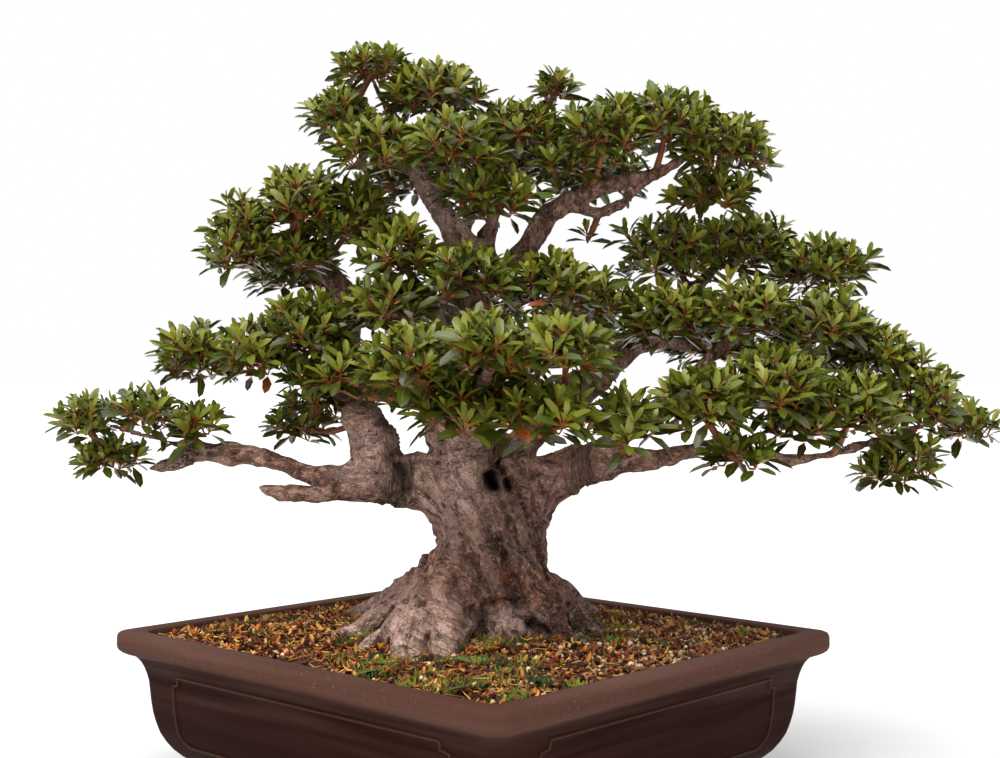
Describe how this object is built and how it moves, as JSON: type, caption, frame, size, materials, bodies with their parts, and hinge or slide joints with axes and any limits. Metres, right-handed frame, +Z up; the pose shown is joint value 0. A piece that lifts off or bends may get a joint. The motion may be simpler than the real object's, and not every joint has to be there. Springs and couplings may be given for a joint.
{
  "type": "chinzan satsuki azalea bonsai",
  "caption": "Old evergreen azalea bonsai with a thick flared trunk, spreading root base and tiered pads of small leaves, in a square stoneware pot with feet",
  "frame": {"origin": "centre of the overall box on the ground, under the pot's feet", "axes": "+Z up; +X to the right seen from the front of the tree, along its widest spread; -Y towards the viewer, where one corner of the pot comes forward"},
  "size_m": [0.8748, 0.6634, 0.6983],
  "materials": {
    "stoneware": "unglazed dark red-brown stoneware, satin, brushed",
    "mesh": "dark plastic drain mesh",
    "grit": "coarse pale pumice grit",
    "soil": "granular golden-brown planting soil with grit, husks and moss",
    "bark": "thin grey-pink bark with darker umber patches and rust-coloured flakes",
    "leaf": "small leathery green leaves, slightly glossy"
  },
  "bodies": {
    "root": {"pot": "stoneware", "drain_screen_1": "mesh", "drain_screen_2": "mesh", "drainage_grit": "grit", "soil": "soil", "wood": "bark", "leaves_apex": "leaf", "leaves_apex_right": "leaf", "leaves_crown_left": "leaf", "leaves_crown_mid": "leaf", "leaves_crown_low": "leaf", "leaves_crown_centre": "leaf", "leaves_crown_right_in": "leaf", "leaves_crown_right_mid": "leaf", "leaves_crown_right_out": "leaf", "leaves_crown_sprig": "leaf", "leaves_upper_left_tip": "leaf", "leaves_upper_left_mid": "leaf", "leaves_upper_left_in": "leaf", "leaves_centre_high": "leaf", "leaves_centre_left": "leaf", "leaves_centre_mid": "leaf", "leaves_centre_right": "leaf", "leaves_front_left": "leaf", "leaves_front_mid": "leaf", "leaves_front_right": "leaf", "leaves_front_low": "leaf", "leaves_front_side": "leaf", "leaves_mid_left_tip": "leaf", "leaves_mid_left_mid": "leaf", "leaves_mid_left_in": "leaf", "leaves_mid_left_low": "leaf", "leaves_low_left_tip": "leaf", "leaves_low_left_mid": "leaf", "leaves_low_left_in": "leaf", "leaves_right_upper_in": "leaf", "leaves_right_upper_mid": "leaf", "leaves_right_upper_tip": "leaf", "leaves_right_in": "leaf", "leaves_right_mid": "leaf", "leaves_right_out": "leaf", "leaves_right_far": "leaf", "leaves_right_front_in": "leaf", "leaves_right_front_mid": "leaf", "leaves_right_front_out": "leaf", "leaves_right_low": "leaf", "leaves_right_hanging": "leaf", "leaves_right_tip": "leaf", "leaves_crown_back_left": "leaf", "leaves_crown_back_right": "leaf", "leaves_back_left": "leaf", "leaves_back_mid": "leaf", "leaves_back_right": "leaf", "leaves_right_back": "leaf", "leaves_right_back_tip": "leaf", "leaves_left_back": "leaf"}
  },
  "joints": []
}
